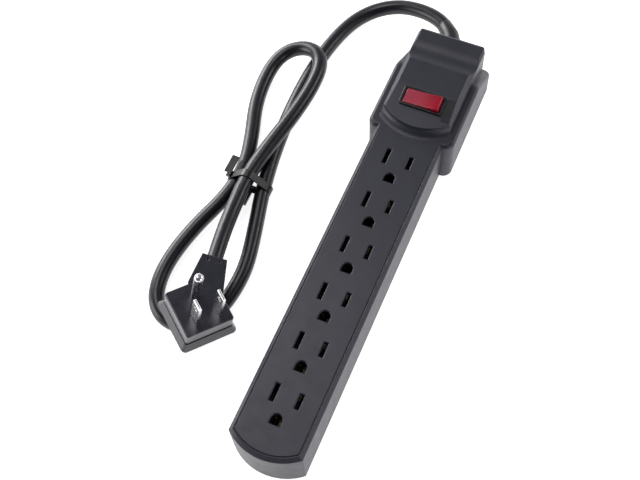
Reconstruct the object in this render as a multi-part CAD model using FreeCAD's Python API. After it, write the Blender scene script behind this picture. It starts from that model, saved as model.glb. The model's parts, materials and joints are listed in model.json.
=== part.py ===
import FreeCAD, Part
import math
import os

from FreeCAD import Placement, Rotation, Vector

# Six-outlet power strip with a lit rocker switch, a short cord and a flat angled plug. Millimetres.
# Origin: middle of the strip's underside. +X across, +Y along the strip towards the cord, +Z up.

# Strip case
BODY_LENGTH = 255.8
BODY_WIDTH = 37.6
BODY_HEIGHT = 28.6
WALL = 2.3
ROOF = 2.4
PARTING_Z = 2.6
END_BULGE = 7.0
SHOULDER = 1.8
END_SHOULDER = 1.8
GROOVE_INSET = 2.1
GROOVE_END_INSET = 2.3
GROOVE_WIDTH = 0.5
GROOVE_DEPTH = 0.4
END_Y = BODY_LENGTH / 2
NEAR_Y = -BODY_LENGTH / 2
HALF_WIDTH = BODY_WIDTH / 2
BULGE_RADIUS = (HALF_WIDTH**2 + END_BULGE**2) / (2 * END_BULGE)
BULGE_CENTRE_Y = NEAR_Y + BULGE_RADIUS

# Head: side lobes with a ramp at the cord end, and the raised hood that carries the switch
HEAD_HALF = 24.1
HEAD_START_Y = 59.8
RAMP_START_Y = 102.8
RAMP_END_Z = 12.6
LOBE_NEAR_RADIUS = 5.0
LOBE_FAR_RADIUS = 4.5
LOBE_TOP_RADIUS = 2.2
CREASE_RADIUS = 10.0
HOOD_HALF = 19.3
HOOD_TOP_HALF = 16.8
HOOD_TOP_Z = BODY_HEIGHT + 6.0
HOOD_SHOULDER_Z = BODY_HEIGHT + 3.0
HOOD_FRONT_Y = 59.0
HOOD_FRONT_RADIUS = 31.0
COVE_RADIUS = 4.6
PANEL_FRONT_Y = HOOD_FRONT_Y + COVE_RADIUS
PANEL_FRONT_Z = BODY_HEIGHT + 4.2
PANEL_CREASE_Y = 87.2
VALLEY_START_Y = 104.2
VALLEY_END_Y = 118.2
VALLEY_LOW_Z = HOOD_TOP_Z - 2.8
HOOD_END_Z = HOOD_TOP_Z - 1.5
HOOD_CORNER_RADIUS = 4.5
HOOD_EDGE_RADIUS = 2.8

# Outlets
OUTLET_COUNT = 6
OUTLET_PITCH = 28.1
OUTLET_CENTRE_Y = -26.3
BLADE_SPACING = 12.7
GROUND_DROP = 11.9
SLOT_WIDTH = 2.2
NEUTRAL_SLOT_LENGTH = 9.0
HOT_SLOT_LENGTH = 7.6
GROUND_HOLE_RADIUS = 2.8
GROUND_HOLE_FLAT = 2.6
LEAD_IN = 0.4
OUTLET_YS = [OUTLET_CENTRE_Y + (i - (OUTLET_COUNT - 1) / 2) * OUTLET_PITCH for i in range(OUTLET_COUNT)]

# Contact bars under the outlets
BAR_NEAR_Y = -112.0
BAR_FAR_Y = 58.5
BAR_THICKNESS = 0.8
BAR_HALF = 2.5
LIVE_BAR_Z = 9.0
GROUND_BAR_Z = 7.4
JAW_TOP_Z = 20.4
JAW_THICKNESS = 0.6
BLADE_JAW_GAP = 1.2
GROUND_JAW_GAP = 4.5
TAB_HEIGHT = 4.0
TAB_THICKNESS = 0.6

# Surge board in the head, and the wires' end on the contact bars
BOARD_NEAR_Y = 88.5
BOARD_FAR_Y = 109.0
BOARD_LEFT_X = -16.5
BOARD_RIGHT_X = 6.5
BOARD_Z = 6.0
BOARD_THICKNESS = 1.6
BOARD_SCREWS = ((-13.5, BOARD_FAR_Y - 2.3), (4.0, BOARD_FAR_Y - 2.3))
WIRE_RADIUS = 1.4
LEAD_RADIUS = 0.6

# Case screws, keyholes and the cord entry
RIGHT_SCREWS = ((13.2, -110.5), (13.2, -26.3), (17.5, 67.5), (17.5, 113.5))
SCREW_POINTS = [(side * x, y) for x, y in RIGHT_SCREWS for side in (-1, 1)]
SCREW_RADIUS = 1.3
SCREW_HEAD_RADIUS = 2.7
SCREW_LENGTH = 14.0
SCREW_SEAT_Z = 1.9
BOSS_RADIUS = 3.0
KEYHOLE_YS = (-60.0, 24.4)
KEYHOLE_RADIUS = 4.25
KEYHOLE_SLOT = 4.2
KEYHOLE_TRAVEL = 9.0
CORD_DIAMETER = 8.4
CORD_RADIUS = CORD_DIAMETER / 2
EXIT_Z = 15.0
CORD_INNER_Y = 113.5
GLAND_NECK_RADIUS = 5.4
TAPER_END_RADIUS = 4.7
CLAMP_Y = 119.5

# Switch, in its own frame: origin on the sloping panel, z along the panel's normal
SWITCH_Y = 79.85
PANEL_TILT = math.degrees(math.atan2(HOOD_TOP_Z - PANEL_FRONT_Z, PANEL_CREASE_Y - PANEL_FRONT_Y))
PANEL_SLOPE = math.tan(math.radians(PANEL_TILT))
SWITCH_Z = PANEL_FRONT_Z + (SWITCH_Y - PANEL_FRONT_Y) * PANEL_SLOPE
SWITCH_PLACE = Placement(Vector(0, SWITCH_Y, SWITCH_Z), Rotation(Vector(1, 0, 0), PANEL_TILT))
BEZEL_SIZE = (24.2, 11.6)
BEZEL_HEIGHT = 1.0
SWITCH_BODY = (22.6, 10.4)
SWITCH_WELL = (21.2, 9.3)
SWITCH_DEPTH = 15.0
ROCKER_PIVOT_Z = -1.2
ROCKER_RADIUS = 10.35
ROCKER_TOP = 3.3
ROCKER_DIP = 0.5
ROCKER_SKIRT = -3.6
ROCKER_HALF_WIDTH = 4.45
ROCKER_TILT = 7.0
ROCKER_PIN_RADIUS = 1.1
PIN_CLEARANCE = 0.05
LEVER_PIVOT_Z = -10.2
LEVER_TILT = 6.0
LEVER_V = 8.0
LEVER_HALF_LENGTH = 6.0
LEVER_THICKNESS = 0.6
LEVER_BEAD_RADIUS = 0.45
CRADLE_CLEARANCE = 0.08
TAB_WIRE_Z = -19.6

# Plug, in its own frame: origin between the blades on the pin face, z along the pins
PLUG_ORIGIN = Vector(-55.1, -71.75, 23.7)
PLUG_YAW = 52.5
PLUG_TILT = 13.2
PLUG_TILT_AZIMUTH = 26.3
PLUG_LOW = (-14.1, -7.7)
PLUG_HIGH = (11.8, 18.6)
PLUG_DEPTH = 13.6
PLUG_FLANGE = 2.3
PLUG_FLANGE_EDGE = 0.5
PLUG_GROOVE_Z = -7.6
PLUG_GROOVE_HEIGHT = 1.0
PLUG_NECK_DIRECTION = Vector(0.66, 0.75, 0).normalize()
PLUG_NECK_TIP = Vector(17.95, 26.9, 0)
PLUG_NECK_BASE = Vector(6.6, 14.0, 0)
PLUG_NECK_DEPTH = 12.0
PLUG_NECK_WIDTHS = (18.2, 13.0)
PLUG_CORD_Z = -6.0
BLADE_SIZE = (1.5, 6.35, 17.0)
BLADE_HOLE_RADIUS = 1.6
GROUND_PIN_RADIUS = 2.4
GROUND_PIN_LENGTH = 20.0
GROUND_PIN_SHOULDER_Z = 0.3
GROUND_ROOT_RADIUS = 2.0
PIN_ROOT = 6.0

# Cord route from inside the head to the plug, chosen by hand along its centreline
FLOOR_Z = CORD_RADIUS
ARC_REACH = 0.45
TIED_Z = FLOOR_Z + 0.9
CORD_ROUTE = [
    (0.0, CORD_INNER_Y, EXIT_Z),
    (0.0, 135.0, EXIT_Z),
    (-12.0, 149.0, 15.2),
    (-28.0, 155.3, 12.2),
    (-44.5, 156.2, 8.0),
    (-58.5, 148.2, 5.2),
    (-67.6, 133.0, FLOOR_Z),
    (-73.0, 106.0, FLOOR_Z),
    (-73.6, 74.0, FLOOR_Z),
    (-71.0, 42.0, FLOOR_Z),
    (-66.0, 14.0, TIED_Z),
    (-59.0, -12.0, FLOOR_Z),
    (-54.2, -32.0, FLOOR_Z),
    (-54.1, -47.0, FLOOR_Z),
    (-56.2, -60.0, FLOOR_Z),
    (-61.8, -70.6, FLOOR_Z),
    (-72.2, -76.6, FLOOR_Z),
    (-83.8, -74.4, FLOOR_Z),
    (-91.8, -64.2, FLOOR_Z),
    (-94.2, -46.0, FLOOR_Z),
    (-90.2, -22.0, FLOOR_Z),
    (-82.2, 1.0, TIED_Z),
    (-80.6, 22.0, TIED_Z),
    (-86.2, 42.0, FLOOR_Z),
    (-93.4, 62.0, FLOOR_Z),
    (-96.1, 79.0, 4.3),
    (-95.7, 92.6, 5.3),
    (-91.3, 101.7, 7.4),
    (-82.4, 106.0, 10.2),
    (-72.8, 103.8, 13.3),
    (-66.6, 95.8, 13.6),
    (-65.4, 79.0, 13.4),
    (-67.4, 58.0, 13.4),
    (-71.4, 37.0, 13.0),
    (-74.6, 15.0, 12.0),
    (-73.0, -8.0, 12.4),
]
NECK_RUN = 14.0
TIE_Y = 13.0
TIE_WIDTH = 4.2
TIE_THICKNESS = 0.6
TIE_GAP = 0.1
TIE_TAIL_Z = 9.6
TIE_STRANDS = ((-81.3, 5.1), (-65.5, 5.0), (-74.1, 12.15))


def box(x0, x1, y0, y1, z0, z1):
    return Part.makeBox(x1 - x0, y1 - y0, z1 - z0, Vector(x0, y0, z0))


def centred_box(size_x, size_y, z0, z1, at=(0, 0)):
    return box(at[0] - size_x / 2, at[0] + size_x / 2, at[1] - size_y / 2, at[1] + size_y / 2, z0, z1)


def post(x, y, z0, z1, radius):
    return Part.makeCylinder(radius, z1 - z0, Vector(x, y, z0), Vector(0, 0, 1))


def rod_y(x, z, y0, y1, radius):
    return Part.makeCylinder(radius, y1 - y0, Vector(x, y0, z), Vector(0, 1, 0))


def prism(points, direction):
    """Extrude the closed outline through these points along a direction."""
    return Part.Face(Part.makePolygon(points + points[:1])).extrude(direction)


def prism_x(profile, half):
    """Extrude a (y, z) outline across X, from -half to half."""
    return prism([Vector(-half, y, z) for y, z in profile], Vector(2 * half, 0, 0))


def prism_y(profile, y0, y1):
    """Extrude an (x, z) outline along Y."""
    return prism([Vector(x, y0, z) for x, z in profile], Vector(0, y1 - y0, 0))


def polyline(points):
    """The edges through (radius, z) points, for a turned outline."""
    return Part.makePolygon([Vector(x, 0, z) for x, z in points]).Edges


def turned(edges, centre_y):
    """A solid turned about the upright axis at centre_y from an outline that may end on that axis."""
    first = edges[0].firstVertex().Point
    last = edges[-1].lastVertex().Point
    if first.distanceToPoint(last) > 0.001:
        edges = edges + [Part.LineSegment(last, first).toShape()]
    shape = Part.Face(Part.Wire(edges)).revolve(Vector(0, 0, 0), Vector(0, 0, 1), 360)
    shape.translate(Vector(0, centre_y, 0))
    return shape


def join(shapes):
    """Fuse shapes into one, without seams between faces in one plane."""
    joined = shapes[0].fuse(shapes[1:])
    return joined.removeSplitter()


def middle(edge):
    return edge.valueAt((edge.FirstParameter + edge.LastParameter) / 2)


def upright(edge):
    size = edge.BoundBox
    return size.XLength < 0.01 and size.YLength < 0.01


def round_edges(shape, radius, chosen):
    return shape.makeFillet(radius, [edge for edge in shape.Edges if chosen(edge)])


# ---------------------------------------------------------------- case


def strip_prism(inset, far_y, z0, z1, end_inset=None):
    """The strip's plan, with its bulged near end, drawn in by inset and extruded upwards."""
    half = HALF_WIDTH - inset
    radius = BULGE_RADIUS - (inset if end_inset is None else end_inset)
    corner_y = BULGE_CENTRE_Y - math.sqrt(radius**2 - half**2)
    left = Vector(-half, corner_y, z0)
    right = Vector(half, corner_y, z0)
    bulge = Part.Arc(left, Vector(0, BULGE_CENTRE_Y - radius, z0), right).toShape()
    far = Part.makePolygon([right, Vector(half, far_y, z0), Vector(-half, far_y, z0), left])
    return Part.Face(Part.Wire([bulge] + far.Edges)).extrude(Vector(0, 0, z1 - z0))


def head_plan(inset, z0, z1):
    """The lobes' plan as a block with rounded corners."""
    block = box(-HEAD_HALF + inset, HEAD_HALF - inset, HEAD_START_Y + inset, END_Y - inset, z0, z1)
    block = round_edges(block, LOBE_NEAR_RADIUS - inset, lambda e: upright(e) and middle(e).y < RAMP_START_Y)
    return round_edges(block, LOBE_FAR_RADIUS - inset, lambda e: upright(e) and middle(e).y > RAMP_START_Y)


def lobe_profile(drop):
    """Side outline of the lobes: level, then a ramp down to the cord end."""
    slope = (BODY_HEIGHT - RAMP_END_Z) / (END_Y - RAMP_START_Y)
    level_z = BODY_HEIGHT - drop
    far_y = END_Y + 1
    return [(0, 0), (0, level_z), (RAMP_START_Y, level_z), (far_y, RAMP_END_Z - drop - slope), (far_y, 0)]


def lobes():
    """Both side lobes as one block, with a soft crease where the ramp begins and a rounded rim."""
    block = head_plan(0, PARTING_Z, BODY_HEIGHT)
    profile = round_edges(prism_x(lobe_profile(0), HEAD_HALF + 1), CREASE_RADIUS, on_ramp_crease)
    return round_edges(block.common(profile), LOBE_TOP_RADIUS, on_lobe_rim)


def on_ramp_crease(edge):
    point = middle(edge)
    return edge.BoundBox.XLength > 1 and abs(point.y - RAMP_START_Y) < 0.1 and point.z > 1


def on_lobe_rim(edge):
    """The rim of the lobes' upper surface, apart from the far end."""
    point = middle(edge)
    across = edge.BoundBox.XLength > 2 * HEAD_HALF - 2 * LOBE_NEAR_RADIUS - 1
    if upright(edge) or point.z < PARTING_Z + 1:
        return False
    return point.y < HEAD_START_Y + 0.1 if across else point.y < END_Y - 0.1


def hood_profile():
    """Side outline of the hood: sloping switch panel, level part, shallow valley and raised end."""
    panel_z = PANEL_FRONT_Z - (PANEL_FRONT_Y - HOOD_FRONT_Y) * PANEL_SLOPE
    valley_start = Vector(0, VALLEY_START_Y, HOOD_TOP_Z)
    valley_low = Vector(0, (VALLEY_START_Y + VALLEY_END_Y) / 2 + 1, VALLEY_LOW_Z)
    valley_end = Vector(0, VALLEY_END_Y, HOOD_END_Z)
    edge = HOOD_EDGE_RADIUS
    bend = edge * (1 - math.sqrt(0.5))
    edge_start = Vector(0, END_Y - edge, HOOD_END_Z)
    edge_middle = Vector(0, END_Y - bend, HOOD_END_Z - bend)
    edge_end = Vector(0, END_Y, HOOD_END_Z - edge)
    foot = Vector(0, HOOD_FRONT_Y, PARTING_Z)
    front = [foot, Vector(0, HOOD_FRONT_Y, panel_z), Vector(0, PANEL_CREASE_Y, HOOD_TOP_Z), valley_start]
    edges = Part.makePolygon(front).Edges
    edges.append(Part.Arc(valley_start, valley_low, valley_end).toShape())
    edges.append(Part.LineSegment(valley_end, edge_start).toShape())
    edges.append(Part.Arc(edge_start, edge_middle, edge_end).toShape())
    edges += Part.makePolygon([edge_end, Vector(0, END_Y, PARTING_Z), foot]).Edges
    face = Part.Face(Part.Wire(edges))
    face.translate(Vector(-HEAD_HALF, 0, 0))
    return face.extrude(Vector(2 * HEAD_HALF, 0, 0))


def hood():
    """The raised hood down to the parting line, with a coved, bulging front."""
    section = [
        (-HOOD_HALF, PARTING_Z),
        (-HOOD_HALF, HOOD_SHOULDER_Z),
        (-HOOD_TOP_HALF, HOOD_TOP_Z),
        (HOOD_TOP_HALF, HOOD_TOP_Z),
        (HOOD_HALF, HOOD_SHOULDER_Z),
        (HOOD_HALF, PARTING_Z),
    ]
    body = hood_profile().common(prism_y(section, HOOD_FRONT_Y, END_Y))
    centre_y = HOOD_FRONT_Y + HOOD_FRONT_RADIUS
    foot = Vector(HOOD_FRONT_RADIUS, 0, BODY_HEIGHT)
    top = Vector(HOOD_FRONT_RADIUS - COVE_RADIUS, 0, BODY_HEIGHT + COVE_RADIUS)
    bend = COVE_RADIUS * math.sqrt(0.5)
    inside = Vector(HOOD_FRONT_RADIUS - bend, 0, BODY_HEIGHT + COVE_RADIUS - bend)
    rest = [
        (top.x, top.z),
        (top.x, HOOD_TOP_Z + 1),
        (0, HOOD_TOP_Z + 1),
        (0, PARTING_Z),
        (foot.x, PARTING_Z),
        (foot.x, foot.z),
    ]
    front = turned(polyline(rest) + [Part.Arc(foot, inside, top).toShape()], centre_y)
    back = box(-HOOD_HALF, HOOD_HALF, centre_y, END_Y, PARTING_Z, HOOD_TOP_Z + 1)
    back = round_edges(back, HOOD_CORNER_RADIUS, lambda e: upright(e) and middle(e).y > END_Y - 0.1)
    return body.common(front.fuse(back)).removeSplitter()


def strip_block():
    """The strip with sloping shoulders along its sides and round its bulged end."""
    block = strip_prism(0, END_Y, PARTING_Z, BODY_HEIGHT)
    shoulder_z = BODY_HEIGHT - SHOULDER
    inner = HALF_WIDTH - SHOULDER
    half_section = [(HALF_WIDTH, PARTING_Z), (HALF_WIDTH, shoulder_z), (inner, BODY_HEIGHT)]
    mirrored = [(-x, z) for x, z in reversed(half_section)]
    block = block.common(prism_y(half_section + mirrored, NEAR_Y, END_Y))
    outline = [
        (0, PARTING_Z),
        (BULGE_RADIUS, PARTING_Z),
        (BULGE_RADIUS, shoulder_z),
        (BULGE_RADIUS - END_SHOULDER, BODY_HEIGHT),
        (0, BODY_HEIGHT),
    ]
    near_end = turned(polyline(outline), BULGE_CENTRE_Y)
    rest = box(-HALF_WIDTH, HALF_WIDTH, BULGE_CENTRE_Y, END_Y, PARTING_Z, BODY_HEIGHT)
    return block.common(near_end.fuse(rest)).removeSplitter()


def face_groove():
    """The fine groove that runs round the outlet face."""
    low = BODY_HEIGHT - GROOVE_DEPTH
    far = HEAD_START_Y - 2
    inner_inset = GROOVE_INSET + GROOVE_WIDTH
    inner_end = GROOVE_END_INSET + GROOVE_WIDTH
    outer = strip_prism(GROOVE_INSET, far, low, BODY_HEIGHT + 1, GROOVE_END_INSET)
    return outer.cut(strip_prism(inner_inset, far + 1, low - 1, BODY_HEIGHT + 2, inner_end))


def head_cavity():
    """The hollow of the head: under the lobes, and higher under the hood."""
    lobe_part = head_plan(WALL, 0, BODY_HEIGHT).common(prism_x(lobe_profile(ROOF), HEAD_HALF))
    inner = HOOD_TOP_HALF - 1.2
    roof = HOOD_TOP_Z - ROOF - 0.8
    step_y = VALLEY_START_Y - 1
    low_roof = VALLEY_LOW_Z - ROOF
    start_y = PANEL_FRONT_Y + 4
    start_z = PANEL_FRONT_Z - ROOF - 0.6
    far_y = END_Y - WALL
    profile = [
        (start_y, 0),
        (start_y, start_z),
        (PANEL_CREASE_Y, roof),
        (step_y, roof),
        (step_y + 3, low_roof),
        (far_y, low_roof),
        (far_y, 0),
    ]
    return join([lobe_part, prism_x(profile, inner)])


def slot_tool(length, x, y):
    """A blade slot with a small lead-in at the face."""
    low = BODY_HEIGHT - ROOF - 1
    top = BODY_HEIGHT + 0.01
    straight = centred_box(SLOT_WIDTH, length, low, top, (x, y))
    return straight.fuse(lead_in([slot_outline(length, x, y, grow, z) for grow, z in lead_in_levels()]))


def slot_outline(length, x, y, grow, z):
    half_x = SLOT_WIDTH / 2 + grow
    half_y = length / 2 + grow
    corners = [(-half_x, -half_y), (half_x, -half_y), (half_x, half_y), (-half_x, half_y), (-half_x, -half_y)]
    return Part.makePolygon([Vector(x + dx, y + dy, z) for dx, dy in corners])


def ground_outline(x, y, grow, z):
    """A D outline, round towards +Y and flat towards -Y."""
    radius = GROUND_HOLE_RADIUS + grow
    flat = y - GROUND_HOLE_FLAT - grow
    left = Vector(x - radius, y, z)
    right = Vector(x + radius, y, z)
    arch = Part.Arc(right, Vector(x, y + radius, z), left).toShape()
    legs = Part.makePolygon([left, Vector(x - radius, flat, z), Vector(x + radius, flat, z), right])
    return Part.Wire([arch] + legs.Edges)


def ground_tool(x, y):
    low = BODY_HEIGHT - ROOF - 1
    straight = Part.Face(ground_outline(x, y, 0, low)).extrude(Vector(0, 0, ROOF + 1.01))
    return straight.fuse(lead_in([ground_outline(x, y, grow, z) for grow, z in lead_in_levels()]))


def lead_in_levels():
    """How far an opening's lead-in has grown at each height."""
    return [(0, BODY_HEIGHT - LEAD_IN), (LEAD_IN, BODY_HEIGHT), (LEAD_IN, BODY_HEIGHT + 0.5)]


def lead_in(outlines):
    return Part.makeLoft(outlines, True, True)


def outlet_tools():
    """Everything cut out of the face for the outlets: neutral slot, hot slot and ground hole each."""
    tools = []
    for y in OUTLET_YS:
        tools.append(slot_tool(NEUTRAL_SLOT_LENGTH, -BLADE_SPACING / 2, y))
        tools.append(slot_tool(HOT_SLOT_LENGTH, BLADE_SPACING / 2, y))
        tools.append(ground_tool(0, y - GROUND_DROP))
    return tools


def cord_doorway():
    """The U-shaped doorway for the cord grip in the far wall, open downwards."""
    width = 2 * GLAND_NECK_RADIUS + 0.1
    y0 = END_Y - WALL - 0.5
    arch = rod_y(0, EXIT_Z, y0, END_Y + 1, width / 2)
    return arch.fuse(box(-width / 2, width / 2, y0, END_Y + 1, 0, EXIT_Z))


def top_cover():
    """The upper shell: strip, lobes and hood in one, hollow, with its openings and screw bosses."""
    outer = join([strip_block(), lobes(), hood()])
    cavity = [strip_prism(WALL, END_Y - WALL, 0, BODY_HEIGHT - ROOF), head_cavity()]
    cut_out = centred_box(SWITCH_BODY[0] + 0.2, SWITCH_BODY[1] + 0.2, -10, 5)
    cut_out.Placement = SWITCH_PLACE.multiply(cut_out.Placement)
    cover = outer.cut(cavity + [face_groove(), cord_doorway(), cut_out] + outlet_tools())
    bosses = [post(x, y, PARTING_Z + 0.05, BODY_HEIGHT - 1, BOSS_RADIUS) for x, y in SCREW_POINTS]
    bosses = [boss.common(outer) for boss in bosses]
    pilots = [post(x, y, 0, SCREW_LENGTH + 3, SCREW_RADIUS + 0.02) for x, y in SCREW_POINTS]
    return cover.fuse(bosses).cut(pilots).removeSplitter()


def outer_plan(inset, z0, z1):
    return join([strip_prism(inset, END_Y - inset, z0, z1), head_plan(inset, z0, z1)])


def keyhole_tool(y):
    """A round hole that takes a screw head, and the slot that it slides up."""
    half = KEYHOLE_SLOT / 2
    slot_end = post(0, y + KEYHOLE_TRAVEL, -1, PARTING_Z + 0.1, half)
    slot = box(-half, half, y, y + KEYHOLE_TRAVEL, -1, PARTING_Z + 0.1)
    pocket_half = KEYHOLE_RADIUS + 0.6
    pocket = box(-pocket_half, pocket_half, y - pocket_half, y + KEYHOLE_TRAVEL + pocket_half, PARTING_Z, 6.1)
    return post(0, y, -1, PARTING_Z + 0.1, KEYHOLE_RADIUS).fuse([slot, slot_end, pocket])


def keyhole_cup(y):
    """The closed cup over a keyhole, so that a screw in it meets no live part."""
    half = KEYHOLE_RADIUS + 1.6
    return box(-half, half, y - half, y + KEYHOLE_TRAVEL + half, PARTING_Z - 0.5, 7.1)


def bar_ribs():
    """Cross ribs that hold the contact bars, with a lower middle for the ground bar."""
    ribs = []
    for y in OUTLET_YS:
        rib_y = y - GROUND_DROP / 2
        for x0, x1, top in ((-9.4, -3.6, LIVE_BAR_Z), (3.6, 9.4, LIVE_BAR_Z), (-3.6, 3.6, GROUND_BAR_Z)):
            ribs.append(box(x0, x1, rib_y - 0.7, rib_y + 0.7, PARTING_Z - 0.5, top))
    return ribs


def cord_rest():
    """The saddle and the two posts under the cord clamp, and the tongue that closes the doorway."""
    saddle = box(-5, 5, CLAMP_Y - 2.5, CLAMP_Y + 2.5, PARTING_Z - 0.5, EXIT_Z - CORD_RADIUS)
    posts = [post(x, CLAMP_Y, PARTING_Z - 0.5, EXIT_Z + CORD_RADIUS, 2.7) for x in (-8, 8)]
    tongue = box(-5.3, 5.3, END_Y - WALL, END_Y, PARTING_Z - 0.5, EXIT_Z)
    tongue = tongue.cut(rod_y(0, EXIT_Z, END_Y - WALL - 1, END_Y + 1, GLAND_NECK_RADIUS + 0.05))
    return [saddle, tongue] + posts


def bottom_cover():
    """The flat underside with its locating lip, and what stands on it inside the case."""
    plate = outer_plan(0, 0, PARTING_Z)
    foot = [e for e in plate.Edges if middle(e).z < 0.01]
    plate = plate.makeChamfer(0.7, foot)
    lip = outer_plan(WALL + 0.15, PARTING_Z - 0.5, PARTING_Z + 2.4)
    lip = lip.cut(outer_plan(WALL + 1.55, PARTING_Z - 1, PARTING_Z + 3))
    lip = lip.cut([post(x, y, 0, 9, BOSS_RADIUS + 0.2) for x, y in SCREW_POINTS])
    lip = lip.cut(box(-6, 6, END_Y - 6, END_Y, PARTING_Z, 9))
    board_posts = [post(x, y, PARTING_Z - 0.5, BOARD_Z, 2.2) for x, y in BOARD_SCREWS]
    ledge_y = BOARD_NEAR_Y + 0.2
    ledge = box(BOARD_LEFT_X + 1, BOARD_RIGHT_X - 1, ledge_y, ledge_y + 1.2, PARTING_Z - 0.5, BOARD_Z)
    cups = [keyhole_cup(y) for y in KEYHOLE_YS]
    cover = join([plate, lip, ledge] + cups + bar_ribs() + cord_rest() + board_posts)
    recesses = [post(x, y, -1, SCREW_SEAT_Z, SCREW_HEAD_RADIUS + 0.2) for x, y in SCREW_POINTS]
    clearances = [post(x, y, 0, 4, SCREW_RADIUS + 0.2) for x, y in SCREW_POINTS]
    board_pilots = [post(x, y, BOARD_Z - 3, BOARD_Z + 1, 0.9) for x, y in BOARD_SCREWS]
    clamp_pilots = [post(x, CLAMP_Y, EXIT_Z - 5, EXIT_Z + 9, 1.1) for x in (-8, 8)]
    keyholes = [keyhole_tool(y) for y in KEYHOLE_YS]
    return cover.cut(keyholes + recesses + clearances + board_pilots + clamp_pilots)


def screw(x, y, seat_z, direction, shank_radius, head_radius, length):
    """A pan-head screw with a cross recess: seat_z is under its head and direction is the way it drives."""
    head_height = 0.55 * head_radius
    head = post(0, 0, -head_height, 0, head_radius)
    head = round_edges(head, head_height * 0.4, lambda e: middle(e).z < -head_height + 0.01)
    arm = head_radius * 0.6
    for size_x, size_y in ((2 * arm, 0.6), (0.6, 2 * arm)):
        head = head.cut(centred_box(size_x, size_y, -head_height - 1, -head_height * 0.45))
    shape = head.fuse(post(0, 0, 0, length, shank_radius))
    shape = shape.makeChamfer(shank_radius * 0.5, [e for e in shape.Edges if middle(e).z > length - 0.01])
    if direction < 0:
        shape.rotate(Vector(0, 0, 0), Vector(1, 0, 0), 180)
    shape.translate(Vector(x, y, seat_z))
    return shape


def case_screws():
    sizes = (SCREW_RADIUS, SCREW_HEAD_RADIUS, SCREW_LENGTH)
    return Part.makeCompound([screw(x, y, SCREW_SEAT_Z, 1, *sizes) for x, y in SCREW_POINTS])


# ---------------------------------------------------------------- contacts and wiring


def jaw(x, y, gap, base_z, side):
    """One sprung leaf of a contact, flared at its mouth."""
    inner = gap / 2
    outer = inner + JAW_THICKNESS
    profile = [
        (inner, base_z),
        (outer, base_z),
        (outer, JAW_TOP_Z),
        (outer + 0.6, JAW_TOP_Z + 1.6),
        (inner + 0.6, JAW_TOP_Z + 1.6),
        (inner, JAW_TOP_Z),
    ]
    return prism_y([(x + side * px, pz) for px, pz in profile], y - 2.6, y + 2.6)


def contact_bar(x, bar_z, gap, drop):
    """A stamped bar with a pair of jaws at every outlet and an upright tab for its wire."""
    plate = box(x - BAR_HALF, x + BAR_HALF, BAR_NEAR_Y, BAR_FAR_Y, bar_z, bar_z + BAR_THICKNESS)
    tab = box(x - BAR_HALF, x + BAR_HALF, BAR_FAR_Y - TAB_THICKNESS, BAR_FAR_Y, bar_z, bar_z + TAB_HEIGHT)
    leaves = []
    for y in OUTLET_YS:
        for side in (-1, 1):
            leaves.append(jaw(x, y - drop, gap, bar_z, side))
    return join([plate, tab] + leaves)


def ground_bar():
    """The ground bar, open under each pin."""
    bar = contact_bar(0, GROUND_BAR_Z, GROUND_JAW_GAP, GROUND_DROP)
    return bar.cut([post(0, y - GROUND_DROP, 0, 12, 2.2) for y in OUTLET_YS])


def smooth_route(points):
    """The edges of straight runs joined by tangent arcs, and the arcs' radii."""
    edges = []
    radii = []
    start = points[0]
    for before, corner, after in zip(points, points[1:], points[2:]):
        into = (corner - before).normalize()
        out = (after - corner).normalize()
        half_turn = into.getAngle(out) / 2
        reach = ARC_REACH * min(before.distanceToPoint(corner), corner.distanceToPoint(after))
        radius = reach / math.tan(half_turn)
        first = corner - into * reach
        last = corner + out * reach
        to_centre = (out - into).normalize()
        mid = corner + to_centre * (radius / math.cos(half_turn) - radius)
        edges.append(Part.LineSegment(start, first).toShape())
        edges.append(Part.Arc(first, mid, last).toShape())
        radii.append(radius)
        start = last
    edges.append(Part.LineSegment(start, points[-1]).toShape())
    return edges, radii


def tube(points, section_radius):
    """A round tube that follows a smooth route."""
    points = [Vector(*point) for point in points]
    edges, radii = smooth_route(points)
    section = Part.Wire(Part.makeCircle(section_radius, points[0], points[1] - points[0]))
    return Part.Wire(edges).makePipeShell([section], True, False, 1)


def bar_end(x, z):
    """The last two points of a wire that meets a bar's upright tab square on."""
    return [(x, BAR_FAR_Y + 7, z), (x, BAR_FAR_Y, z)]


def cord_core(x, z):
    """The first two points of a core as it leaves the cord's end inside the head."""
    return [(x, CORD_INNER_Y, z), (x, CORD_INNER_Y - 7, z)]


def switch_end(x, side):
    """The last two points of a wire that meets a switch tab square on, from its near or far side."""
    return [tuple(SWITCH_PLACE.multVec(Vector(x, side * y, TAB_WIRE_Z))) for y in (7.5, 2.4)]


def line_wire():
    return tube(cord_core(1.9, 15.9) + [(7.0, 97.0, 15.4)] + switch_end(8, 1), WIRE_RADIUS)


def load_wire():
    return tube(switch_end(0, -1)[::-1] + [(3.4, 70.4, 12.2)] + bar_end(6.1, 11.4), WIRE_RADIUS)


def neutral_wire():
    between = [(-4.4, 97.0, 12.2), (-4.6, 80.0, 11.0)]
    return tube(cord_core(-1.9, 15.9) + between + bar_end(-5.2, 11.3), WIRE_RADIUS)


def ground_wire():
    between = [(-0.3, 97.0, 9.8), (-0.1, 80.0, 9.5)]
    return tube(cord_core(0, 12.8) + between + bar_end(0, 9.7), WIRE_RADIUS)


def lamp_wire():
    return tube(switch_end(-8, -1)[::-1] + [(-9.2, 70.4, 13.0)] + bar_end(-8.0, 12.2), LEAD_RADIUS)


def board_lead(x, turn_x, bar_x, bar_z):
    """A thin lead from the board's near edge to a contact bar's tab."""
    level = BOARD_Z + BOARD_THICKNESS / 2
    start = [(x, BOARD_NEAR_Y, level), (x, BOARD_NEAR_Y - 6, level)]
    return tube(start + [(turn_x, 74.0, 8.0)] + bar_end(bar_x, bar_z), LEAD_RADIUS)


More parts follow.
